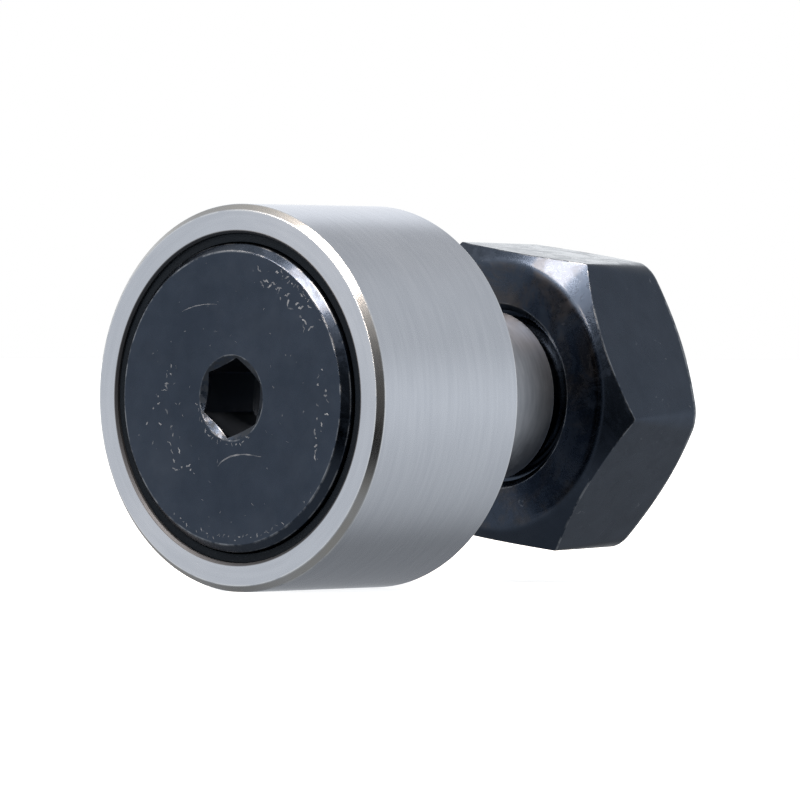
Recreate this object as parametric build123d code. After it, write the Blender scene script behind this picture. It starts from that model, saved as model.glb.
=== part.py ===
"""Stud-type cam follower: a needle bearing track roller on a threaded stud, with its hexagon nut.

Millimetres. +Y runs along the stud, from the head to the threaded end, and +Z is up.
The origin is on the axis, in the face of the side plate that seats against the bracket.
Every turned piece is a profile of (radius, y) points revolved about the Y axis.
"""
import math
import os

from build123d import *

# Outer ring
ring_r = 11.0
ring_width = 12.0
ring_edge = 0.35
ring_wall = 2.9  # from the raceway to the tread
ring_lip = 1.65  # from the counterbore to the tread
bore_edge = 0.12

# Needles and cage
needle_count = 16
needle_r = 0.985
needle_edge = 0.12
running_gap = 0.015  # each side of a needle, to its raceway
cage_wall = 0.76
cage_end = 0.75  # axial width of the two end bands
cage_float = 0.2  # each end, to the head and to the side plate
pocket_gap = 0.025  # each side of a needle, in its pocket
pocket_end_gap = 0.05  # each end of a needle, in its pocket

# Stud
head_thickness = 2.0
head_proud = 0.4
head_bevel = 0.42
plate_thickness = 2.2
plate_proud = 0.6
plate_edge = 0.4
seal_room = 0.6  # radial gap round the head and round the side plate
seat_step = 0.5  # the side plate's seat stands this much over the shank
shank_r = 5.0
shank_length = 9.3
stud_reach = 23.0  # from the seating face to the threaded end

# Thread, M10 x 1.25
thread_under = 0.02  # the thread's crests lie this much under the shank
thread_pitch = 1.25
thread_half_angle = 30.0
thread_relief = 1.5  # length of the relief groove behind the shank
relief_extra = 0.1  # the groove is this much deeper than the thread
end_chamfer = 0.95

# Hexagon socket in the head
socket_flats = 4.0
socket_depth = 4.0
socket_mouth = 0.12  # the countersink's radius over the hexagon's corners
socket_corner_angle = 81.0
drill_half_angle = 59.0

# Seal rings
seal_web_gap = 0.02  # between a seal ring's web and the head or the side plate
seal_web = 0.48
seal_wall = 0.32
seal_setback = 0.25  # from the ring's face to the edge of the seal
seal_lip_gap = 0.06
seal_lip = 0.3  # axial length of the lip
cage_clearance = 0.12

# Nut
nut_flats = 17.0
nut_height = 8.0
nut_shank_gap = 0.65  # from the end of the shank to the nut's front face
nut_face_step = 0.6  # the round face's radius is this much under half the width across flats
nut_bevel_angle = 30.0
nut_thread_gap = 0.07  # radial, between the stud's thread and the nut's bore
nut_mouth = 0.4  # the countersink's radius over the bore
nut_corner_angle = -8.1

# Places along the stud
ring_back = -plate_proud
ring_front = ring_back - ring_width
head_front = ring_front - head_proud
head_back = head_front + head_thickness
plate_front = -plate_thickness
front_web_face = head_back + seal_web_gap
rear_web_face = plate_front - seal_web_gap
floor_front = front_web_face + seal_web
floor_back = rear_web_face - seal_web
track_middle = (head_back + plate_front) / 2
cage_half = (plate_front - head_back) / 2 - cage_float
pocket_length = 2 * (cage_half - cage_end)
needle_length = pocket_length - 2 * pocket_end_gap
nut_front = shank_length + nut_shank_gap
nut_back = nut_front + nut_height
relief_end = shank_length + thread_relief

# Radii that follow from the fits
outer_race_r = ring_r - ring_wall
pitch_r = outer_race_r - running_gap - needle_r
inner_race_r = pitch_r - needle_r - running_gap
counterbore_r = ring_r - ring_lip
head_r = counterbore_r - seal_room
seat_r = shank_r + seat_step
cage_inner_r = pitch_r - cage_wall / 2
cage_outer_r = pitch_r + cage_wall / 2
thread_r = shank_r - thread_under
thread_depth = 0.6134 * thread_pitch
relief_r = thread_r - thread_depth - relief_extra
nut_bore_r = thread_r + nut_thread_gap
nut_face_r = nut_flats / 2 - nut_face_step
cut_over = 0.05  # a cutter runs this far past the surface it cuts


def turned(*points):
    """A solid of revolution about the Y axis, from its half profile."""
    return revolve(make_face(Polyline(*points, close=True)), Axis.Y)


def along_y(solid, y=0.0, angle=0.0):
    """Lay a solid drawn along +Z down along +Y, turned by angle from +X towards +Z."""
    return Pos(0, y, 0) * Rot(0, -angle, 0) * Rot(-90, 0, 0) * solid


def hexagon(flats, length, y, corner_angle):
    """A hexagonal prism from y to y + length, with a corner at corner_angle."""
    corner_r = flats / math.sqrt(3)
    prism = extrude(RegularPolygon(radius=corner_r, side_count=6), amount=length)
    return along_y(prism, y, corner_angle)


def outer_ring():
    return turned(
        (outer_race_r, floor_front),
        (counterbore_r, floor_front),
        (counterbore_r, ring_front + bore_edge),
        (counterbore_r + bore_edge, ring_front),
        (ring_r - ring_edge, ring_front),
        (ring_r, ring_front + ring_edge),
        (ring_r, ring_back - ring_edge),
        (ring_r - ring_edge, ring_back),
        (counterbore_r + bore_edge, ring_back),
        (counterbore_r, ring_back - bore_edge),
        (counterbore_r, floor_back),
        (outer_race_r, floor_back),
    )


def helical_solid(section, height):
    """A solid with the given (radius, z) section, wound by ruled faces along a helix about Z."""
    edges = [(Pos(0, 0, z) * Helix(thread_pitch, height, radius)).edge() for radius, z in section]
    faces = [
        Face.make_surface_from_curves(edge, following)
        for edge, following in zip(edges, edges[1:] + edges[:1])
    ]
    for end in (0, 1):
        corners = [edge @ end for edge in edges]
        faces.append(make_face(Polyline(*corners, close=True)).face())
    return Solid(Shell(faces))


def thread_groove(start, end):
    """The helical V groove of the stud's thread, from y = start to y = end."""
    slope = math.tan(math.radians(thread_half_angle))
    root = thread_pitch / 8
    mouth = root + 2 * (thread_depth + cut_over) * slope
    low = thread_r - thread_depth
    high = thread_r + cut_over
    section = [(low, -root / 2), (high, -mouth / 2), (high, mouth / 2), (low, root / 2)]
    return along_y(helical_solid(section, end - start), start)


def socket():
    """The hexagon socket: the broached hexagon, its pilot drill's cone and its countersink."""
    corner_r = socket_flats / math.sqrt(3)
    pilot_r = socket_flats / 2
    mouth_r = corner_r + socket_mouth
    floor = head_front + socket_depth
    tip = floor + pilot_r / math.tan(math.radians(drill_half_angle))
    mouth_depth = mouth_r - pilot_r
    broach = hexagon(socket_flats, socket_depth, head_front, socket_corner_angle)
    point = turned((0, floor - 0.5), (pilot_r, floor - 0.5), (pilot_r, floor), (0, tip))
    mouth = turned((0, head_front), (mouth_r, head_front), (pilot_r, head_front + mouth_depth / 2),
                   (0, head_front + mouth_depth / 2))
    return broach + point + mouth


def threaded_end(start):
    """The stud from y = start, in the relief groove, to its tip: rod, thread, lead-in and relief."""
    rod = turned((0, start), (thread_r, start), (thread_r, stud_reach), (0, stud_reach))
    groove = thread_groove(relief_end - thread_pitch / 8, stud_reach + thread_pitch)
    outside = thread_r + 1
    lead_in = turned(
        (thread_r - end_chamfer, stud_reach),
        (outside, stud_reach - end_chamfer - 1),
        (outside, stud_reach + 1),
        (thread_r - end_chamfer, stud_reach + 1),
    )
    relief = turned(
        (relief_r, start - 1),
        (outside, start - 1),
        (outside, relief_end + outside - relief_r),
        (relief_r, relief_end),
    )
    return rod - groove - lead_in - relief


def stud():
    middle = relief_end - thread_relief / 2
    body = turned(
        (0, head_front),
        (head_r - head_bevel, head_front),
        (head_r, head_front + head_bevel),
        (head_r, head_back),
        (inner_race_r, head_back),
        (inner_race_r, plate_front),
        (seat_r, plate_front),
        (seat_r, 0),
        (shank_r, 0),
        (shank_r, shank_length),
        (relief_r, shank_length + (shank_r - relief_r) / 2),
        (relief_r, middle),
        (0, middle),
    )
    return body - socket() + threaded_end(middle)


def side_plate():
    return turned(
        (seat_r, plate_front),
        (head_r, plate_front),
        (head_r, -plate_edge),
        (head_r - plate_edge, 0),
        (seat_r, 0),
    )


def seal_ring(face, floor, web_face):
    """An L-shaped seal ring pressed into a counterbore.

    face is the ring's face, floor the counterbore's floor, and web_face the side of the seal's
    web that runs against the head or the side plate.
    """
    out = 1 if face > floor else -1
    edge = face - out * seal_setback
    web_r = cage_outer_r + cage_clearance
    outer = counterbore_r
    inner = outer - seal_wall
    lip_r = head_r + seal_lip_gap
    return turned(
        (web_r, floor),
        (outer, floor),
        (outer, edge),
        (lip_r, edge),
        (inner, edge - out * seal_lip),
        (inner, web_face),
        (web_r, web_face),
    )


def needle(index):
    half = needle_length / 2
    flat_r = needle_r - needle_edge
    roller = turned((0, -half), (flat_r, -half), (needle_r, needle_edge - half),
                    (needle_r, half - needle_edge), (flat_r, half), (0, half))
    angle = 2 * math.pi * index / needle_count
    return Pos(pitch_r * math.cos(angle), track_middle, pitch_r * math.sin(angle)) * roller


def needle_cage():
    front = track_middle - cage_half
    back = track_middle + cage_half
    band = turned((cage_inner_r, front), (cage_outer_r, front), (cage_outer_r, back),
                  (cage_inner_r, back))
    pocket_width = 2 * (needle_r + pocket_gap)
    pocket = Pos(pitch_r, track_middle, 0) * Box(2 * cage_wall, pocket_length, pocket_width)
    for index in range(needle_count):
        band -= Rot(0, -360 * index / needle_count, 0) * pocket
    return band


def hex_nut():
    mouth_r = nut_bore_r + nut_mouth
    corner_r = nut_flats / math.sqrt(3) + 1
    drop = (corner_r - nut_face_r) * math.tan(math.radians(nut_bevel_angle))
    turned_blank = turned(
        (nut_bore_r, nut_front + nut_mouth),
        (mouth_r, nut_front),
        (nut_face_r, nut_front),
        (corner_r, nut_front + drop),
        (corner_r, nut_back - drop),
        (nut_face_r, nut_back),
        (mouth_r, nut_back),
        (nut_bore_r, nut_back - nut_mouth),
    )
    return hexagon(nut_flats, nut_height, nut_front, nut_corner_angle) & turned_blank


def build():
    parts = {
        "stud": stud(),
        "outer_ring": outer_ring(),
        "side_plate": side_plate(),
        "front_seal_ring": seal_ring(ring_front, floor_front, front_web_face),
        "rear_seal_ring": seal_ring(ring_back, floor_back, rear_web_face),
        "needle_cage": needle_cage(),
        "hex_nut": hex_nut(),
    }
    for index in range(needle_count):
        parts[f"needle_{index + 1:02d}"] = needle(index)
    return parts


os.makedirs("parts", exist_ok=True)
for name, solid in build().items():
    export_step(solid, f"parts/{name}.step")
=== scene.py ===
import math
import random

import bmesh
import bpy
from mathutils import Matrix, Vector


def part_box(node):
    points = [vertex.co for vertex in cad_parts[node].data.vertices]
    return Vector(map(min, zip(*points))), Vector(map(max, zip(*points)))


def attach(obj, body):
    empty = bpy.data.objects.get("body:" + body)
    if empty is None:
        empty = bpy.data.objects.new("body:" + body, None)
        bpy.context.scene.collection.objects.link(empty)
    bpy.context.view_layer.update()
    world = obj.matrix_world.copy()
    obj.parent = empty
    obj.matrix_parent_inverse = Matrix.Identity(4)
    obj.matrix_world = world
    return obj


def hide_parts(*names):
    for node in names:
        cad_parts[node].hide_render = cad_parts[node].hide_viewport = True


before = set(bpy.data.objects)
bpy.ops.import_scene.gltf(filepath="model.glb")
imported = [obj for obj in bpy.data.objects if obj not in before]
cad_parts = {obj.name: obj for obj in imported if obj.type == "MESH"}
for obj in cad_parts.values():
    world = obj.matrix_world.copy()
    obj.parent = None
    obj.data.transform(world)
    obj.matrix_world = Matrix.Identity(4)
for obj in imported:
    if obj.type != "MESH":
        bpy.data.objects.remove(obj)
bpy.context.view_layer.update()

MM = 0.001
TURN = 2 * math.pi


def extent(name):
    """The lowest and highest corners of a CAD node, in millimetres."""
    low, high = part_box(name)
    return low / MM, high / MM


def farthest_corner(name):
    """(radius, angle) of the CAD vertex that lies farthest from the Y axis."""
    spots = (v.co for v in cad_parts[name].data.vertices)
    far = max(spots, key=lambda co: math.hypot(co.x, co.z))
    return math.hypot(far.x, far.z) / MM, math.atan2(far.z, far.x)


# Sizes in millimetres: the large ones come from the frame, and the small ones are named here.
# A ..._ROUND is a fillet's radius, a ..._R is a radius from the Y axis.
ring_low, ring_high = extent("outer_ring")
stud_low, stud_high = extent("stud")
plate_low, plate_high = extent("side_plate")
nut_low, nut_high = extent("hex_nut")
seal_high = extent("front_seal_ring")[1]
nut_corner_r, nut_corner_angle = farthest_corner("hex_nut")

RING_EDGE = 0.35
RING_EDGE_ROUND = 0.09
RING_BORE_EDGE = 0.12
COUNTERBORE_DEPTH = 2.1
RING_WALL = 2.9
HEAD_THICKNESS = 2.0
HEAD_BEVEL = 0.42
INNER_RACE_R = 6.1
SEAT_R = 5.5
SHANK_R = 5.0
SHANK_LENGTH = 9.3
SHANK_ROOT = 0.5
SOCKET_FLATS = 4.0
SOCKET_DEPTH = 4.0
SOCKET_MOUTH = 0.12
SOCKET_CORNER = math.radians(81)
SOCKET_CORNER_R = SOCKET_FLATS / math.sqrt(3)
SOCKET_CORNER_ROUND = 0.06
DRILL_HALF_ANGLE = math.radians(59)
PLATE_EDGE = 0.4
SEAL_WALL = 0.32
SEAL_SETBACK = 0.25
SEAL_LIP = 0.3
SEAL_LIP_GAP = 0.06
SEAL_BORE_R = 7.6
NUT_FACE_R = 7.9
NUT_BEVEL = math.radians(30)
NUT_MOUTH = 0.4
NUT_BORE_GAP = 0.07
NUT_CORNER_ROUND = 0.2
NUT_FACE_ROUND = 1.2
NUT_BACK_ROUND = 0.5
NUT_UNDERFILL = 1.5
NUT_SIDE_STEPS = 5
NUT_THREAD_SHARE = 0.86
THREAD_R = 4.98
THREAD_PITCH = 1.25
THREAD_DEPTH = 0.6134 * THREAD_PITCH
THREAD_SLOPE = math.tan(math.radians(30))
THREAD_FLANK_STEPS = 4
THREAD_CREST_EDGE = 0.03
THREAD_RELIEF = 1.5
RELIEF_R = THREAD_R - THREAD_DEPTH - 0.1
RELIEF_END = SHANK_LENGTH + THREAD_RELIEF
END_CHAMFER = 0.95
STUD_CUT = RELIEF_END - THREAD_RELIEF / 2
GROOVE_START = RELIEF_END - THREAD_PITCH / 8

# Steps round the axis
RING_STEPS = 288
STUD_STEPS = 360
PLATE_STEPS = 240
THREAD_STEPS = 144
NUT_THREAD_STEPS = 96

# Colours
OXIDE_DARK = (0.0285, 0.041, 0.064, 1)
OXIDE_LIGHT = (0.043, 0.058, 0.086, 1)
OXIDE_FLECK = (0.24, 0.26, 0.29, 1)
OXIDE_WORN = (0.30, 0.32, 0.35, 1)
OXIDE_SMUDGE = (0.085, 0.072, 0.062, 1)
MARK_BRIGHT = (0.50, 0.51, 0.53, 1)
# Painted shade: the near-black colour laid over the inside of the hexagon socket
SOCKET_SHADE = (0.036, 0.044, 0.057, 1)
RING_LIGHT = (0.65, 0.68, 0.74, 1)
RING_DARK = (0.60, 0.63, 0.69, 1)
RING_CHAMFER = (0.56, 0.54, 0.50, 1)
# Painted shade: the near-black colour laid over the ring's counterbore edges beside the seals
RING_GAP_SHADE = (0.05, 0.055, 0.065, 1)
SHANK_LIGHT = (0.47, 0.49, 0.53, 1)
SHANK_DARK = (0.36, 0.38, 0.42, 1)
STEEL_WORN = (0.80, 0.82, 0.85, 1)
SEAL_DARK = (0.002, 0.003, 0.005, 1)
SEAL_LIGHT = (0.004, 0.006, 0.009, 1)
LAMP_COLOUR = (1.0, 0.84, 0.71)

# How much of the black oxide is flecked bare: the noise level above which the steel shows
FEW_FLECKS = 0.735
MORE_FLECKS = 0.67

# Camera: it looks along the stud from the head's side
VIEW_AZIMUTH = math.radians(41.56)
VIEW_ELEVATION = math.radians(0.49)
VIEW_DISTANCE = 0.4329
VIEW_LENS = 336.0
VIEW_AIM = Vector((0, 1.4, -0.2)) * MM


def add_camera():
    data = bpy.data.cameras.new("camera")
    data.lens = VIEW_LENS
    data.sensor_width = 36.0
    data.clip_start = 0.01
    data.clip_end = 20.0
    camera = bpy.data.objects.new("camera", data)
    bpy.context.scene.collection.objects.link(camera)
    back = Vector((
        math.sin(VIEW_AZIMUTH) * math.cos(VIEW_ELEVATION),
        -math.cos(VIEW_AZIMUTH) * math.cos(VIEW_ELEVATION),
        math.sin(VIEW_ELEVATION),
    ))
    camera.location = VIEW_AIM + back * VIEW_DISTANCE
    camera.rotation_euler = back.to_track_quat("Z", "Y").to_euler()
    bpy.context.scene.camera = camera


# Shader helpers

def new_material(name):
    material = bpy.data.materials.new(name)
    material.use_nodes = True
    return material, material.node_tree


def node(tree, kind, inputs=None, **settings):
    """Add a shader node, set its attributes, and set or link its inputs."""
    made = tree.nodes.new(kind)
    for key, value in settings.items():
        setattr(made, key, value)
    for key, value in (inputs or {}).items():
        if isinstance(value, bpy.types.NodeSocket):
            tree.links.new(value, made.inputs[key])
        else:
            made.inputs[key].default_value = value
    return made


def maths(tree, operation, first, second=0.0, third=0.0):
    return node(tree, "ShaderNodeMath", {0: first, 1: second, 2: third},
                operation=operation).outputs[0]


def noise(tree, vector, scale, detail=3.0, roughness=0.5, distortion=0.0):
    return node(tree, "ShaderNodeTexNoise",
                {"Vector": vector, "Scale": scale, "Detail": detail, "Roughness": roughness,
                 "Distortion": distortion}).outputs["Fac"]


def spread(tree, value, low, high, to_low=0.0, to_high=1.0):
    """Map value from low..high to to_low..to_high, clamped."""
    return node(tree, "ShaderNodeMapRange",
                {"Value": value, "From Min": low, "From Max": high, "To Min": to_low,
                 "To Max": to_high}).outputs["Result"]


def blend_colour(tree, factor, first, second):
    mix = node(tree, "ShaderNodeMix", data_type="RGBA")
    for index, value in ((0, factor), (6, first), (7, second)):
        if isinstance(value, bpy.types.NodeSocket):
            tree.links.new(value, mix.inputs[index])
        else:
            mix.inputs[index].default_value = value
    return mix.outputs[2]


def blend_value(tree, factor, first, second):
    return node(tree, "ShaderNodeMix", {0: factor, 2: first, 3: second}).outputs[0]


def share(tree, amount, first, second):
    """A sum of two values that takes this amount of the first and the rest of the second."""
    return blend_value(tree, amount, second, first)


def product(tree, first, *others):
    for other in others:
        first = maths(tree, "MULTIPLY", first, other)
    return first


def beyond(tree, distance, size, fade):
    """A mask that rises from 0 at size to 1 at size + fade; distance is in metres, these in mm."""
    return spread(tree, distance, size * MM, (size + fade) * MM)


def within(tree, distance, size, fade, most=1.0):
    """A mask that falls from most at size to 0 at size + fade; distance is in metres, these in mm."""
    return spread(tree, distance, size * MM, (size + fade) * MM, most, 0.0)


def object_place(tree):
    return node(tree, "ShaderNodeTexCoord").outputs["Object"]


def axis_place(tree):
    """x, y, z and the distance from the Y axis, in metres."""
    x, y, z = node(tree, "ShaderNodeSeparateXYZ", {"Vector": object_place(tree)}).outputs
    squares = maths(tree, "ADD", maths(tree, "MULTIPLY", x, x), maths(tree, "MULTIPLY", z, z))
    return x, y, z, maths(tree, "SQRT", squares)


def shift_from(tree, value, size):
    """The distance between value, in metres, and size, in millimetres."""
    return maths(tree, "ABSOLUTE", maths(tree, "SUBTRACT", value, size * MM))


def turning(tree, along=0.0004, across=0.00003):
    """Coordinates whose noise runs in fine lines round the Y axis, with no seam.

    across is the spacing of the lines and along sets how long each one is, in metres.
    """
    x, y, z, radius = axis_place(tree)
    radius = maths(tree, "MAXIMUM", radius, 1e-6)
    line = maths(tree, "DIVIDE", maths(tree, "ADD", radius, y), across)
    turn = 0.01 / along
    around = maths(tree, "MULTIPLY", maths(tree, "DIVIDE", x, radius), turn)
    over = maths(tree, "MULTIPLY", maths(tree, "DIVIDE", z, radius), turn)
    return node(tree, "ShaderNodeCombineXYZ", {"X": line, "Y": around, "Z": over}).outputs["Vector"]


def round_tangent(tree):
    return node(tree, "ShaderNodeTangent", direction_type="RADIAL", axis="Y").outputs[0]


def wear_mask(tree, coverage=0.5):
    """The mesh's own edge attribute, broken up by noise, so that only parts of an edge are worn."""
    edge = node(tree, "ShaderNodeAttribute", attribute_name="edge").outputs["Fac"]
    patch = noise(tree, object_place(tree), 900.0, detail=4.0, roughness=0.65)
    broken = spread(tree, patch, 1 - coverage - 0.06, 1 - coverage + 0.1)
    return maths(tree, "MULTIPLY", edge, broken)


def finish_surface(tree, bump_height, strength, distance):
    bump = node(tree, "ShaderNodeBump", {"Height": bump_height, "Strength": strength,
                                         "Distance": distance})
    tree.links.new(bump.outputs[0], tree.nodes["Principled BSDF"].inputs["Normal"])


def ground_steel(name):
    """The ring's ground steel: fine lines round the axis, faint stains, dull chamfers, worn edges, and
    painted shade on the bore edges beside the seals.
    """
    material, tree = new_material(name)
    colour, roughness, height = ground_nodes(tree, RING_LIGHT, RING_DARK, (0.22, 0.30))
    chamfer, bore_shade = ring_edges(tree)
    colour = blend_colour(tree, chamfer, colour, RING_CHAMFER)
    # Painted shade: the counterbore edges beside the seals are darkened and dulled, which hides their
    # glint
    colour = blend_colour(tree, bore_shade, colour, RING_GAP_SHADE)
    shader = tree.nodes["Principled BSDF"]
    tree.links.new(colour, shader.inputs["Base Color"])
    tree.links.new(blend_value(tree, bore_shade, roughness, 0.6), shader.inputs["Roughness"])
    shader.inputs["Metallic"].default_value = 1.0
    shader.inputs["Specular Tint"].default_value = (0.76, 0.76, 0.77, 1)
    shader.inputs["Anisotropic"].default_value = 0.45
    shader.inputs["Anisotropic Rotation"].default_value = 0.25
    tree.links.new(round_tangent(tree), shader.inputs["Tangent"])
    finish_surface(tree, height, 0.3, 0.000002)
    return material


def ring_edges(tree):
    """Masks for the ring's two turned outer chamfers and for the painted shade on its bore edges beside
    the seals.
    """
    y, radius = axis_place(tree)[1::2]
    middle = (ring_low.y + ring_high.y) / 2
    half = ring_high.y - middle
    from_middle = shift_from(tree, y, middle)
    under_tread = within(tree, radius, ring_high.x - 0.05, 0.03)
    under_face = within(tree, from_middle, half - 0.05, 0.03)
    at_rim = beyond(tree, radius, ring_high.x - 1.0, 0.1)
    stain = noise(tree, object_place(tree), 300.0, detail=3.0, roughness=0.6)
    cover = spread(tree, stain, 0.3, 0.6, 0.4, 0.85)
    # Painted shade: this mask darkens the counterbore and its edge where they meet the seal gap
    in_bore = within(tree, radius, seal_high.x + RING_BORE_EDGE + 0.02, 0.06, most=0.94)
    near_end = beyond(tree, from_middle, half - 1.5, 0.1)
    return product(tree, under_tread, under_face, at_rim, cover), product(tree, in_bore, near_end)


def ground_nodes(tree, light, dark, rough):
    """Colour, roughness and height of ground steel between two colours and two roughnesses."""
    lines = turning(tree)
    fine = noise(tree, lines, 1.0, detail=2.0, roughness=0.6)
    broad = noise(tree, lines, 0.11, detail=2.0, roughness=0.5)
    stain = noise(tree, object_place(tree), 240.0, detail=5.0, roughness=0.6)
    colour = blend_colour(tree, spread(tree, share(tree, 0.6, broad, stain), 0.38, 0.62), dark, light)
    colour = blend_colour(tree, wear_mask(tree, 0.6), colour, STEEL_WORN)
    return colour, spread(tree, share(tree, 0.55, fine, stain), 0.32, 0.68, *rough), fine


def oxide_nodes(tree, fleck=FEW_FLECKS):
    """Black oxide over turned steel: blue-black, faintly mottled, rubbed bright in places."""
    place = object_place(tree)
    mottle = noise(tree, place, 700.0, detail=6.0, roughness=0.6)
    cloud = noise(tree, place, 150.0, detail=3.0, roughness=0.5, distortion=0.4)
    grain = noise(tree, place, 6000.0, detail=3.0, roughness=0.6)
    scuff = noise(tree, place, 1400.0, detail=4.0, roughness=0.7, distortion=0.8)
    smear = noise(tree, place, 520.0, detail=5.0, roughness=0.65, distortion=1.2)
    cut = noise(tree, turning(tree, across=0.00006), 1.0, detail=2.0, roughness=0.5)
    tone = spread(tree, share(tree, 0.5, mottle, cloud), 0.36, 0.64)
    colour = blend_colour(tree, tone, OXIDE_DARK, OXIDE_LIGHT)
    bare = spread(tree, scuff, fleck, fleck + 0.055, 0.0, 0.5)
    colour = blend_colour(tree, bare, colour, OXIDE_FLECK)
    worn = maths(tree, "MULTIPLY", wear_mask(tree, 0.5), 0.75)
    colour = blend_colour(tree, worn, colour, OXIDE_WORN)
    rough = maths(tree, "ADD", spread(tree, cloud, 0.35, 0.65, 0.20, 0.29),
                  spread(tree, grain, 0.3, 0.7, -0.04, 0.04))
    rough = maths(tree, "ADD", rough, spread(tree, smear, 0.46, 0.62, 0.0, 0.14))
    return colour, rough, share(tree, 0.9, grain, cut)


def oil_film(shader):
    """The thin film of rust-preventing oil that black-oxide pieces are dipped in."""
    shader.inputs["Coat Weight"].default_value = 0.35
    shader.inputs["Coat Roughness"].default_value = 0.10
    shader.inputs["Coat IOR"].default_value = 1.45


def black_oxide(name, fleck=FEW_FLECKS, end_faces=()):
    """Black oxide; end_faces are the y of flat ends that carry brown smudges from the assembly."""
    material, tree = new_material(name)
    shader = tree.nodes["Principled BSDF"]
    colour, rough, height = oxide_nodes(tree, fleck)
    if end_faces:
        y = axis_place(tree)[1]
        brown = noise(tree, object_place(tree), 320.0, detail=5.0, roughness=0.65, distortion=0.6)
        smudge = spread(tree, brown, 0.46, 0.62, 0.0, 0.6)
    for face_y in end_faces:
        on_face = within(tree, shift_from(tree, y, face_y), 0.02, 0.04)
        colour = blend_colour(tree, product(tree, on_face, smudge), colour, OXIDE_SMUDGE)
    tree.links.new(colour, shader.inputs["Base Color"])
    tree.links.new(rough, shader.inputs["Roughness"])
    shader.inputs["Metallic"].default_value = 1.0
    oil_film(shader)
    finish_surface(tree, height, 0.35, 0.000005)
    return material


def stud_steel(name):
    """Black oxide all over, with the shank and the needles' raceway ground bright afterwards, and
    painted shade darkening the hexagon socket.
    """
    material, tree = new_material(name)
    shader = tree.nodes["Principled BSDF"]
    black, black_rough, black_height = oxide_nodes(tree)
    bright, bright_rough, bright_height = ground_nodes(tree, SHANK_LIGHT, SHANK_DARK, (0.36, 0.50))
    y, radius = axis_place(tree)[1::2]
    ground = product(
        tree,
        beyond(tree, y, stud_low.y + HEAD_THICKNESS, 0.1),
        within(tree, y, SHANK_LENGTH - 0.05, 0.1),
        within(tree, radius, SEAT_R + 0.9, 0.1),
        beyond(tree, radius, SHANK_R - 0.3, 0.1),
    )
    # Painted shade: the socket's inside is darkened to a near-black colour, and its mouth in patches,
    # with a duller roughness
    before_shank = within(tree, y, 0.0, 0.1)
    inside = product(
        tree,
        within(tree, radius, SOCKET_CORNER_R - 0.1, 0.13),
        beyond(tree, y, stud_low.y + 0.1, 0.4),
        before_shank,
    )
    shade_patches = noise(tree, object_place(tree), 2200.0, detail=3.0, roughness=0.6)
    on_mouth = product(
        tree,
        within(tree, radius, SOCKET_CORNER_R + SOCKET_MOUTH, 0.03),
        before_shank,
        spread(tree, shade_patches, 0.44, 0.52),
    )
    socket_shade = maths(tree, "MAXIMUM", inside, on_mouth)
    black = blend_colour(tree, maths(tree, "MULTIPLY", socket_shade, 0.85), black, SOCKET_SHADE)
    black_rough = blend_value(tree, maths(tree, "MULTIPLY", socket_shade, 0.7), black_rough, 0.6)
    tree.links.new(blend_colour(tree, ground, black, bright), shader.inputs["Base Color"])
    tree.links.new(blend_value(tree, ground, black_rough, bright_rough), shader.inputs["Roughness"])
    shader.inputs["Metallic"].default_value = 1.0
    oil_film(shader)
    finish_surface(tree, blend_value(tree, ground, black_height, bright_height), 0.35, 0.000004)
    return material


def seal_polymer(name):
    """Moulded seal material: black, matt, with faint flow lines and greasy patches."""
    material, tree = new_material(name)
    shader = tree.nodes["Principled BSDF"]
    flow = noise(tree, turning(tree, across=0.0001), 1.0, detail=3.0, roughness=0.5)
    grease = noise(tree, object_place(tree), 380.0, detail=4.0, roughness=0.6)
    tree.links.new(blend_colour(tree, flow, SEAL_DARK, SEAL_LIGHT), shader.inputs["Base Color"])
    tree.links.new(spread(tree, grease, 0.4, 0.62, 0.45, 0.65), shader.inputs["Roughness"])
    shader.inputs["Specular IOR Level"].default_value = 0.1
    shader.inputs["Specular Tint"].default_value = (0.75, 0.88, 1.0, 1)
    finish_surface(tree, flow, 0.25, 0.000006)
    return material


def bright_steel(name, colour, rough):
    """Bare, faintly uneven steel, for the needles and the cage behind the seals."""
    material, tree = new_material(name)
    shader = tree.nodes["Principled BSDF"]
    grain = noise(tree, object_place(tree), 2400.0, detail=3.0, roughness=0.6)
    dark = tuple(c * 0.8 for c in colour)
    tree.links.new(blend_colour(tree, grain, (*dark, 1), (*colour, 1)), shader.inputs["Base Color"])
    tree.links.new(spread(tree, grain, 0.3, 0.7, rough * 0.8, rough * 1.25), shader.inputs["Roughness"])
    shader.inputs["Metallic"].default_value = 1.0
    finish_surface(tree, grain, 0.2, 0.000002)
    return material


def rubbed_steel(name):
    """Steel that shows through the oxide; the mesh's edge attribute says how bright it is."""
    material, tree = new_material(name)
    shader = tree.nodes["Principled BSDF"]
    edge = node(tree, "ShaderNodeAttribute", attribute_name="edge").outputs["Fac"]
    grain = noise(tree, object_place(tree), 3000.0, detail=3.0, roughness=0.6)
    amount = maths(tree, "MULTIPLY", edge, spread(tree, grain, 0.3, 0.7, 0.5, 1.2))
    colour = blend_colour(tree, amount, OXIDE_LIGHT, MARK_BRIGHT)
    tree.links.new(colour, shader.inputs["Base Color"])
    shader.inputs["Roughness"].default_value = 0.45
    shader.inputs["Metallic"].default_value = 1.0
    return material


# Mesh helpers

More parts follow.
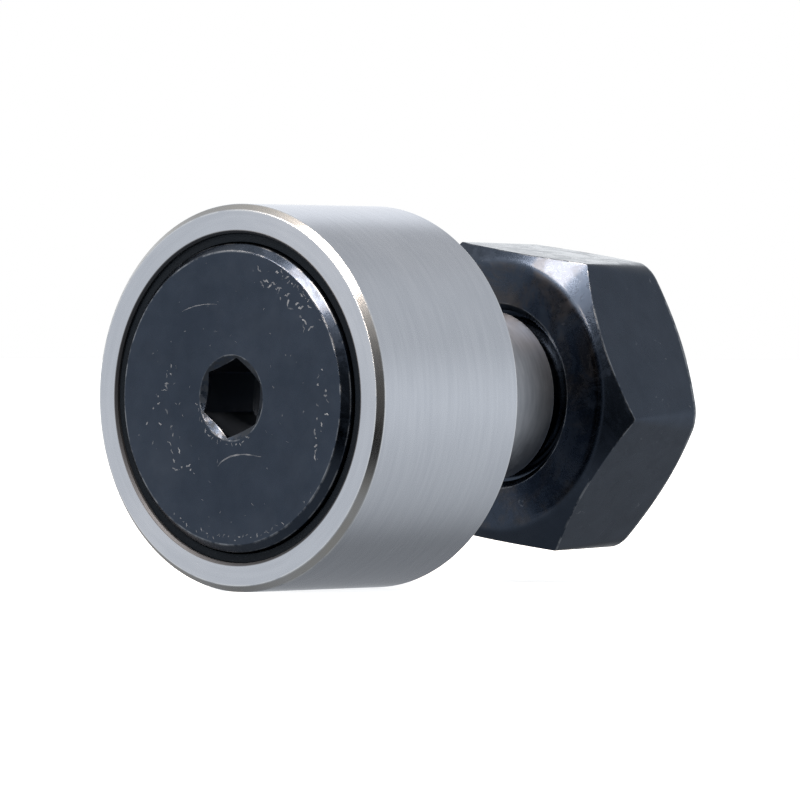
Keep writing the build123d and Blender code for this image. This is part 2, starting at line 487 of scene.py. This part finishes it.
def fillet(corners, steps=4, support=0.05, broad=0.6):
    """Round a closed outline of (radius, y, fillet) corners.

    Returns (radius, y, edge) points, where edge is 1 on an arc and 0 elsewhere. Each side of an arc
    has a support point, a short way along the straight, where edge has fallen back to 0. A fillet
    over the broad size is part of the surface, so its edge stays 0.
    """
    points = []
    for index, (radius, y, size) in enumerate(corners):
        worn = 0.0 if size > broad else 1.0
        here = Vector((radius, y))
        before = Vector(corners[index - 1][:2]) - here
        after = Vector(corners[(index + 1) % len(corners)][:2]) - here
        if size <= 0:
            points.append((radius, y, 0.0))
            continue
        before_way, after_way = before.normalized(), after.normalized()
        half = before_way.angle(after_way) / 2
        reach = min(size / math.tan(half), before.length * 0.49, after.length * 0.49)
        size = reach * math.tan(half)
        centre = here + (before_way + after_way).normalized() * (size / math.sin(half))
        start = here + before_way * reach - centre
        finish = here + after_way * reach - centre
        swing = start.angle_signed(finish) * -1
        lead = here + before_way * min(reach + support, before.length * 0.495)
        points.append((lead.x, lead.y, 0.0))
        for step in range(steps + 1):
            turn = swing * step / steps
            spoke = Vector((start.x * math.cos(turn) - start.y * math.sin(turn),
                            start.x * math.sin(turn) + start.y * math.cos(turn)))
            spot = centre + spoke
            points.append((max(spot.x, 0.0), spot.y, worn))
        trail = here + after_way * min(reach + support, after.length * 0.495)
        points.append((trail.x, trail.y, 0.0))
    return points


def hexagon_radius(angle, flats, corner_angle, rounding):
    """Distance from the axis to a hexagon's wall at angle, with its corners rounded."""
    half = flats / 2
    off = (angle - corner_angle) % (TURN / 6)
    off = min(off, TURN / 6 - off)
    flat_end = math.atan((half - rounding) * math.tan(TURN / 12) / half)
    if TURN / 12 - off <= flat_end:
        return half / math.cos(TURN / 12 - off)
    centre = (half - rounding) / math.cos(TURN / 12)
    return centre * math.cos(off) + math.sqrt(rounding ** 2 - (centre * math.sin(off)) ** 2)


def make_object(name, vertices, faces, material, edge=None):
    """A mesh object from vertices in millimetres, welded, facing outwards and smooth-shaded."""
    mesh = bpy.data.meshes.new(name)
    mesh.from_pydata([tuple(c * MM for c in v) for v in vertices], [], faces)
    if edge:
        attribute = mesh.attributes.new("edge", "FLOAT", "POINT")
        attribute.data.foreach_set("value", edge)
    built = bmesh.new()
    built.from_mesh(mesh)
    bmesh.ops.remove_doubles(built, verts=built.verts, dist=1e-8)
    bmesh.ops.dissolve_degenerate(built, edges=built.edges, dist=1e-9)
    bmesh.ops.recalc_face_normals(built, faces=built.faces)
    for face in built.faces:
        face.smooth = True
    built.to_mesh(mesh)
    built.free()
    mesh.materials.append(material)
    made = bpy.data.objects.new(name, mesh)
    bpy.context.scene.collection.objects.link(made)
    weighted = made.modifiers.new("even_normals", "WEIGHTED_NORMAL")
    weighted.keep_sharp = True
    return made


def lathe(name, outline_at, angles, material):
    """A closed mesh whose section at each angle, from +X towards +Z, is outline_at(angle)."""
    loops = [outline_at(angle) for angle in angles]
    count = len(loops[0])
    vertices, edge, faces = [], [], []
    for angle, loop in zip(angles, loops):
        for radius, y, worn in loop:
            vertices.append((radius * math.cos(angle), y, radius * math.sin(angle)))
            edge.append(worn)
    for step in range(len(angles)):
        here, following = step * count, (step + 1) % len(angles) * count
        for spot in range(count):
            ahead = (spot + 1) % count
            faces.append((here + spot, here + ahead, following + ahead, following + spot))
    return make_object(name, vertices, faces, material, edge)


def even_angles(count, start=0.0):
    return [start + TURN * step / count for step in range(count)]


def cornered_angles(corner_angle, spacing=2.0, fine=0.3, reach=6.0):
    """Angles round a hexagon in order, close together near its corners, in degrees from a corner."""
    offsets = []
    here = 0.0
    while here < 60 - 1e-6:
        offsets.append(here)
        near = min(here, 60 - here) < reach - 1e-6
        here = min(here + (fine if near else spacing), 60)
        if not near and here > 60 - reach:
            here = 60 - reach
            offsets.append(here)
            here += fine
    return [corner_angle + math.radians(60 * side + offset) for side in range(6) for offset in offsets]


# Pieces

def make_outer_ring(material):
    race_r = ring_high.x - RING_WALL
    counterbore_r = seal_high.x
    front, back = ring_low.y, ring_high.y
    outer = ring_high.x
    outline = fillet([
        (race_r, front + COUNTERBORE_DEPTH, 0.05),
        (counterbore_r, front + COUNTERBORE_DEPTH, 0),
        (counterbore_r, front + RING_BORE_EDGE, 0.03),
        (counterbore_r + RING_BORE_EDGE, front, 0.05),
        (outer - RING_EDGE, front, RING_EDGE_ROUND),
        (outer, front + RING_EDGE, RING_EDGE_ROUND),
        (outer, back - RING_EDGE, RING_EDGE_ROUND),
        (outer - RING_EDGE, back, RING_EDGE_ROUND),
        (counterbore_r + RING_BORE_EDGE, back, 0.05),
        (counterbore_r, back - RING_BORE_EDGE, 0.03),
        (counterbore_r, back - COUNTERBORE_DEPTH, 0),
        (race_r, back - COUNTERBORE_DEPTH, 0.05),
    ])
    return lathe("ring_body", lambda angle: outline, even_angles(RING_STEPS), material)


def make_stud(material):
    """The stud from its head to the side plate's outer face, with the hexagon socket in the head."""
    front = stud_low.y
    head_r = stud_high.x
    pilot_r = SOCKET_FLATS / 2
    mouth_r = SOCKET_CORNER_R + SOCKET_MOUTH
    floor = front + SOCKET_DEPTH
    tip = floor + pilot_r / math.tan(DRILL_HALF_ANGLE)

    def outline_at(angle):
        wall = hexagon_radius(angle, SOCKET_FLATS, SOCKET_CORNER, SOCKET_CORNER_ROUND)
        return fillet([
            (0, tip, 0),
            (pilot_r - 0.01, floor, 0),
            (wall, floor, 0),
            (wall, front + (mouth_r - wall) / 2, 0.03),
            (mouth_r, front, 0.05),
            (head_r - HEAD_BEVEL, front, 0.1),
            (head_r, front + HEAD_BEVEL, 0.12),
            (head_r, front + HEAD_THICKNESS, 0.1),
            (INNER_RACE_R, front + HEAD_THICKNESS, 0),
            (INNER_RACE_R, plate_low.y, 0),
            (SEAT_R, plate_low.y, 0),
            (SEAT_R, 0, 0.04),
            (0, 0, 0),
        ])

    return lathe("stud_body", outline_at, even_angles(STUD_STEPS, SOCKET_CORNER), material)


def make_shank(material):
    """The shank, from inside the side plate's seat to inside the relief groove.

    It keeps out of glossy reflections, or the lamps that it mirrors show up in the nut's face.
    """
    outline = fillet([
        (0, -SHANK_ROOT, 0),
        (SHANK_R, -SHANK_ROOT, 0),
        (SHANK_R, SHANK_LENGTH, 0.05),
        (RELIEF_R, SHANK_LENGTH + (SHANK_R - RELIEF_R) / 2, 0.05),
        (RELIEF_R, STUD_CUT, 0),
        (0, STUD_CUT, 0),
    ])
    shank = lathe("stud_shank", lambda angle: outline, even_angles(RING_STEPS), material)
    shank.visible_glossy = False
    return shank


def thread_offsets():
    """(y, depth) rows across one pitch of the V groove, from its middle, with depth 1 at the root."""
    root = THREAD_PITCH / 16
    top = root + THREAD_DEPTH * THREAD_SLOPE
    flank = [((top - root) * step / THREAD_FLANK_STEPS, step / THREAD_FLANK_STEPS)
             for step in range(1, THREAD_FLANK_STEPS)]
    rows = [(-root, 1.0), (0.0, 1.0), (root, 1.0)]
    rows += [(root + y, 1 - rise) for y, rise in flank]
    rows += [(top, 0.02), (top + THREAD_CREST_EDGE, 0.0)]
    rows += [(THREAD_PITCH - top - THREAD_CREST_EDGE, 0.0), (THREAD_PITCH - top, 0.02)]
    rows += [(THREAD_PITCH - top + y, rise) for y, rise in flank]
    return rows


def make_stud_thread(material):
    """The threaded end: rows of vertices that follow the helix, kept inside the turned blank."""
    tip = stud_high.y
    turns = math.ceil((tip - STUD_CUT) / THREAD_PITCH) + 3
    rows = [(turn * THREAD_PITCH + y, depth)
            for turn in range(-2, turns) for y, depth in thread_offsets()]
    vertices, faces, edge = [], [], []
    for y_row, depth in rows:
        for step in range(THREAD_STEPS + 1):
            angle = TURN * step / THREAD_STEPS
            y = GROOVE_START + y_row - THREAD_PITCH * angle / TURN
            radius = THREAD_R - THREAD_DEPTH * depth
            if y < RELIEF_END:
                blank = RELIEF_R
            else:
                blank = min(RELIEF_R + y - RELIEF_END, THREAD_R - END_CHAMFER + tip - y)
            radius = max(min(radius, blank), 0.5)
            vertices.append((radius * math.cos(angle), y, radius * math.sin(angle)))
            edge.append(1.0 if radius > THREAD_R - 0.02 else 0.0)
    width = THREAD_STEPS + 1
    for row in range(len(rows) - 1):
        for step in range(THREAD_STEPS):
            a = row * width + step
            faces.append((a, a + 1, a + width + 1, a + width))
    mesh_object = make_object("stud_thread", vertices, faces, material, edge)
    built = bmesh.new()
    built.from_mesh(mesh_object.data)
    for y, way in ((STUD_CUT - 0.05, -1), (tip, 1)):
        geometry = built.verts[:] + built.edges[:] + built.faces[:]
        bmesh.ops.bisect_plane(built, geom=geometry, dist=1e-9, plane_co=(0, y * MM, 0),
                               plane_no=(0, way, 0), clear_outer=True)
        rim = [e for e in built.edges
               if e.is_boundary and all(abs(v.co.y - y * MM) < 1e-7 for v in e.verts)]
        bmesh.ops.holes_fill(built, edges=rim, sides=0)
    bmesh.ops.recalc_face_normals(built, faces=built.faces)
    for face in built.faces:
        face.smooth = len(face.verts) < 6
    built.to_mesh(mesh_object.data)
    built.free()
    return mesh_object


def make_side_plate(material):
    outline = fillet([
        (SEAT_R, plate_low.y, 0.04),
        (plate_high.x, plate_low.y, 0.06),
        (plate_high.x, -PLATE_EDGE, 0.08),
        (plate_high.x - PLATE_EDGE, 0, 0.08),
        (SEAT_R, 0, 0.05),
    ])
    return lathe("side_plate_body", lambda angle: outline, even_angles(PLATE_STEPS), material)


def make_seal(name, face, way, web_face, material):
    """An L-shaped seal ring. way is +1 where the seal lies towards +Y from the ring's face, or -1."""
    floor = face + way * COUNTERBORE_DEPTH
    edge = face + way * SEAL_SETBACK
    outer = seal_high.x
    inner = outer - SEAL_WALL
    lip_r = stud_high.x + SEAL_LIP_GAP
    outline = fillet([
        (SEAL_BORE_R, floor, 0.04),
        (outer, floor, 0),
        (outer, edge, 0.05),
        (lip_r, edge, 0.03),
        (inner, edge + way * SEAL_LIP, 0.04),
        (inner, web_face, 0),
        (SEAL_BORE_R, web_face, 0.04),
    ])
    return lathe(name, lambda angle: outline, even_angles(PLATE_STEPS), material)


def make_nut(material):
    """The nut is cold formed: its corners are sharp at the front and less well filled at the back."""
    flats = nut_corner_r * math.sqrt(3)
    front, back = nut_low.y, nut_high.y
    bore_r = THREAD_R + NUT_BORE_GAP
    mouth_r = bore_r + NUT_MOUTH

    def outline_at(angle):
        walls = []
        for step in range(NUT_SIDE_STEPS + 1):
            rounding = NUT_CORNER_ROUND + NUT_UNDERFILL * step / NUT_SIDE_STEPS
            walls.append(hexagon_radius(angle, flats, nut_corner_angle, rounding))
        first = front + (walls[0] - NUT_FACE_R) * math.tan(NUT_BEVEL)
        last = back - (walls[-1] - NUT_FACE_R) * math.tan(NUT_BEVEL)
        side = [(wall, first + (last - first) * step / NUT_SIDE_STEPS, 0)
                for step, wall in enumerate(walls)]
        return fillet([
            (bore_r, front + NUT_MOUTH, 0.03),
            (mouth_r, front, 0.05),
            (NUT_FACE_R, front, NUT_FACE_ROUND),
            (*side[0][:2], 0.07),
            *side[1:-1],
            (*side[-1][:2], NUT_BACK_ROUND),
            (NUT_FACE_R, back, NUT_BACK_ROUND),
            (mouth_r, back, 0.05),
            (bore_r, back - NUT_MOUTH, 0.03),
        ])

    return lathe("nut_body", outline_at, cornered_angles(nut_corner_angle), material)


def make_nut_thread(material):
    """The nut's internal thread: a ridge that lies in the stud's groove and is rooted in the bore."""
    front, back = nut_low.y, nut_high.y
    bore_r = THREAD_R + NUT_BORE_GAP
    crest_r = THREAD_R - THREAD_DEPTH * NUT_THREAD_SHARE
    root_r = bore_r + 0.05
    crest_half = THREAD_PITCH / 8 * 0.8
    foot_half = crest_half + (bore_r + 0.03 - crest_r) * THREAD_SLOPE
    half_section = [(bore_r + 0.08, foot_half), (bore_r + 0.03, foot_half), (crest_r, crest_half)]
    section = [(radius, -y) for radius, y in half_section] + half_section[::-1]
    first = math.ceil((front + foot_half - GROOVE_START) / THREAD_PITCH * NUT_THREAD_STEPS)
    last = math.floor((back - foot_half - GROOVE_START) / THREAD_PITCH * NUT_THREAD_STEPS)
    fade = NUT_THREAD_STEPS // 3
    vertices, faces = [], []
    for step in range(first, last + 1):
        y_middle = GROOVE_START + THREAD_PITCH * step / NUT_THREAD_STEPS
        angle = -TURN * step / NUT_THREAD_STEPS
        rise = min(1.0, (step - first) / fade, (last - step) / fade)
        for radius, y in section:
            shrunk = root_r + (radius - root_r) * max(rise, 0.02)
            vertices.append((shrunk * math.cos(angle), y_middle + y * max(rise, 0.3),
                             shrunk * math.sin(angle)))
    count = len(section)
    for step in range(last - first):
        for spot in range(count):
            a = step * count + spot
            b = step * count + (spot + 1) % count
            faces.append((a, b, b + count, a + count))
    faces.append(tuple(range(count)))
    faces.append(tuple(range(len(vertices) - count, len(vertices))))
    return make_object("nut_thread", vertices, faces, material)


# Groups of nicks on the head: (from, to) degrees from +X towards +Z, number, radius, spread, length
NICK_GROUPS = [
    (32, 74, 17, 7.2, 0.45, 0.42),
    (-28, 14, 15, 7.0, 0.4, 0.40),
    (158, 238, 24, 5.8, 1.0, 0.38),
    (236, 300, 26, 7.95, 0.16, 0.22),
    (40, 64, 14, 8.0, 0.12, 0.30),
    (185, 305, 15, 2.62, 0.1, 0.26),
]
SCATTERED_NICKS = 70
# Scratches on the head: (x, z) of the start, of the point it bends towards, of the end; and width
SCRATCHES = [
    ((-1.05, -3.9), (-0.2, -2.9), (2.3, -3.3), 0.12),
    ((-3.8, 4.9), (-2.6, 5.4), (-1.1, 5.3), 0.07),
]
SCRATCH_STEPS = 14
SCRATCH_BRIGHTNESS = 0.5
MARK_PROUD = 0.004
MARK_SIDE_DROP = 0.002


def make_marks(material):
    """Nicks and two curved scratches on the head: ragged slivers that lie a hair over its face."""
    chance = random.Random(11)
    face_y = stud_low.y - MARK_PROUD
    vertices, faces, rubbed = [], [], []

    def scrape(spots, width, brightness):
        """A ragged sliver along spots in the head's face, widest in the middle."""
        base = len(vertices)
        last = len(spots) - 1
        for index, spot in enumerate(spots):
            ahead = spots[min(index + 1, last)] - spots[max(index - 1, 0)]
            across = Vector((-ahead.y, ahead.x)).normalized()
            taper = 0.2 + math.sin(math.pi * (index + 0.5) / (last + 1))
            left = -chance.uniform(0.15, 0.9)
            right = chance.uniform(0.15, 0.9)
            for side, drop in ((left, MARK_SIDE_DROP), (0, 0.0), (right, MARK_SIDE_DROP)):
                rim = spot + across * (side * taper * width / 2)
                vertices.append((rim.x, face_y + drop, rim.y))
                rubbed.append(min(brightness * chance.uniform(0.5, 1.3), 1.0))
        for index in range(last):
            a = base + index * 3
            faces.append((a, a + 1, a + 4, a + 3))
            faces.append((a + 1, a + 2, a + 5, a + 4))

    def nick(radius, angle, length, width, tilt, brightness):
        """A crooked nick at (radius, angle), turned by tilt from the radius."""
        centre = Vector((radius * math.cos(angle), radius * math.sin(angle)))
        along = Vector((math.cos(angle + tilt), math.sin(angle + tilt)))
        aside = Vector((-along.y, along.x))
        spots = [centre + along * (length * (t - 0.5)) + aside * (length * chance.uniform(-0.14, 0.14))
                 for t in (0, 0.2, 0.4, 0.6, 0.8, 1)]
        scrape(spots, width, brightness)

    for start, finish, count, radius, jitter, size in NICK_GROUPS:
        for step in range(count):
            angle = math.radians(start + (finish - start) * (step + chance.uniform(0.1, 0.9)) / count)
            nick(
                radius + chance.uniform(-jitter, jitter),
                angle,
                length=size * chance.uniform(0.3, 1.2),
                width=size * chance.uniform(0.16, 0.5),
                tilt=chance.uniform(-1.6, 1.6),
                brightness=chance.uniform(0.25, 1.0),
            )
    for step in range(SCATTERED_NICKS):
        nick(
            chance.uniform(2.9, 8.1),
            chance.uniform(0, TURN),
            length=chance.uniform(0.04, 0.2),
            width=chance.uniform(0.02, 0.08),
            tilt=chance.uniform(0, 3.1),
            brightness=chance.uniform(0.1, 0.6),
        )
    for start, bend, finish, width in SCRATCHES:
        spots = []
        for step in range(SCRATCH_STEPS + 1):
            t = step / SCRATCH_STEPS
            spots.append(Vector(start) * (1 - t) ** 2 + Vector(bend) * (2 * t * (1 - t))
                         + Vector(finish) * t ** 2)
        scrape(spots, width, SCRATCH_BRIGHTNESS)
    return make_object("head_marks", vertices, faces, material, rubbed)


# Studio

# Broad lights and one shade: direction, half-angles in degrees of the full and of the faded cone,
# and gain, which is below zero for the shade
LOBES = [
    ((-0.68, 0.68, 0.24), 14, 30, 0.85),
    ((-0.30, -0.62, 0.72), 14, 30, 0.35),
    ((0.60, 0.70, -0.38), 15, 45, 0.26),
    ((-0.62, -0.78, 0.05), 14, 40, 0.18),
    ((0.62, -0.78, 0.0), 14, 44, -0.48),
    ((0.49, 0.75, 0.45), 12, 32, 0.07),
    ((0.0, -0.40, -0.92), 20, 50, 0.08),
]
# Lamps: name, direction, size in metres, power in watts
LAMPS = [
    ("top_softbox", (0.15, -0.48, 0.86), (0.24, 0.20), 3.2),
    ("left_softbox", (-0.27, -0.67, 0.69), (0.17, 0.11), 1.7),
    ("front_strip", (0.0, -0.93, 0.37), (0.025, 0.20), 0.42),
]
LAMP_DISTANCE = 0.5


def add_world():
    """A soft studio, white where the camera sees it directly.

    Its light comes from a few broad lobes over a gradient that darkens downwards.
    """
    world = bpy.data.worlds.new("studio")
    world.use_nodes = True
    bpy.context.scene.world = world
    tree = world.node_tree
    tree.nodes.clear()
    way = node(tree, "ShaderNodeTexCoord").outputs["Generated"]
    height = node(tree, "ShaderNodeSeparateXYZ", {"Vector": way}).outputs["Z"]
    level = blend_value(tree, spread(tree, height, -0.75, -0.05), 0.24, 0.55)
    for direction, inner, outer, gain in LOBES:
        facing = node(tree, "ShaderNodeVectorMath", {0: way, 1: Vector(direction).normalized()},
                      operation="DOT_PRODUCT").outputs["Value"]
        near = node(tree, "ShaderNodeMapRange",
                    {"Value": facing, "From Min": math.cos(math.radians(outer)),
                     "From Max": math.cos(math.radians(inner)), "To Max": gain},
                    interpolation_type="SMOOTHSTEP").outputs["Result"]
        level = maths(tree, "ADD", level, near)
    lit = node(tree, "ShaderNodeBackground", {"Color": (0.95, 0.975, 1, 1), "Strength": level})
    seen = node(tree, "ShaderNodeBackground", {"Color": (1, 1, 1, 1), "Strength": 1.0})
    path = node(tree, "ShaderNodeLightPath")
    mix = node(tree, "ShaderNodeMixShader",
               {0: path.outputs["Is Camera Ray"], 1: lit.outputs[0], 2: seen.outputs[0]})
    node(tree, "ShaderNodeOutputWorld", {"Surface": mix.outputs[0]})


def add_lamp(name, direction, size, power):
    data = bpy.data.lights.new(name, "AREA")
    data.shape = "RECTANGLE"
    data.size, data.size_y = size
    data.energy = power
    data.color = LAMP_COLOUR
    lamp = bpy.data.objects.new(name, data)
    away = Vector(direction).normalized()
    lamp.location = away * LAMP_DISTANCE
    lamp.rotation_euler = away.to_track_quat("Z", "Y").to_euler()
    bpy.context.scene.collection.objects.link(lamp)


def add_floor():
    """A pale floor under the ring, bright enough to meet the studio's white without an edge."""
    mesh = bpy.data.meshes.new("floor")
    reach = 3.0
    corners = [(-reach, -reach), (reach, -reach), (reach, reach), (-reach, reach)]
    mesh.from_pydata([(x, y, ring_low.z * MM) for x, y in corners], [], [(0, 1, 2, 3)])
    floor = bpy.data.objects.new("floor", mesh)
    bpy.context.scene.collection.objects.link(floor)
    material, tree = new_material("floor_white")
    shader = tree.nodes["Principled BSDF"]
    shader.inputs["Base Color"].default_value = (0.93, 0.93, 0.93, 1)
    shader.inputs["Roughness"].default_value = 0.9
    shader.inputs["Emission Color"].default_value = (1, 1, 1, 1)
    shader.inputs["Emission Strength"].default_value = 0.8
    mesh.materials.append(material)
    floor.visible_glossy = False


add_camera()
add_world()
add_floor()
for lamp in LAMPS:
    add_lamp(*lamp)

steel = ground_steel("ground_steel")
oxide = black_oxide("black_oxide")
nut_oxide = black_oxide("nut_oxide", MORE_FLECKS, (nut_low.y, nut_high.y))
stud_finish = stud_steel("stud_steel")
seal = seal_polymer("seal_polymer")
rubbed = rubbed_steel("rubbed_steel")
needle_steel = bright_steel("needle_steel", (0.72, 0.73, 0.76), 0.14)
cage_steel = bright_steel("cage_steel", (0.46, 0.45, 0.43), 0.34)

pieces = [
    (make_outer_ring(steel), "roller", "ground_steel", "outer_ring"),
    (make_seal("front_seal_body", ring_low.y, 1, stud_low.y + HEAD_THICKNESS + 0.02, seal), "roller",
     "seal_polymer", "front_seal_ring"),
    (make_seal("rear_seal_body", ring_high.y, -1, plate_low.y - 0.02, seal), "roller",
     "seal_polymer", "rear_seal_ring"),
    (make_stud(stud_finish), "stud", "stud_steel", "stud"),
    (make_shank(stud_finish), "stud", "stud_steel", None),
    (make_stud_thread(stud_finish), "stud", "stud_steel", None),
    (make_side_plate(oxide), "stud", "black_oxide", "side_plate"),
    (make_marks(rubbed), "stud", "stud_steel", None),
    (make_nut(nut_oxide), "nut", "black_oxide", "hex_nut"),
    (make_nut_thread(oxide), "nut", "black_oxide", None),
]
for piece, body, slot, stands_for in pieces:
    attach(piece, body)
    if stands_for:
        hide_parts(stands_for)

for name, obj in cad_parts.items():
    obj.data.materials.clear()
    obj.data.materials.append(cage_steel if name == "needle_cage" else needle_steel)

bpy.context.scene.view_settings.view_transform = "Standard"
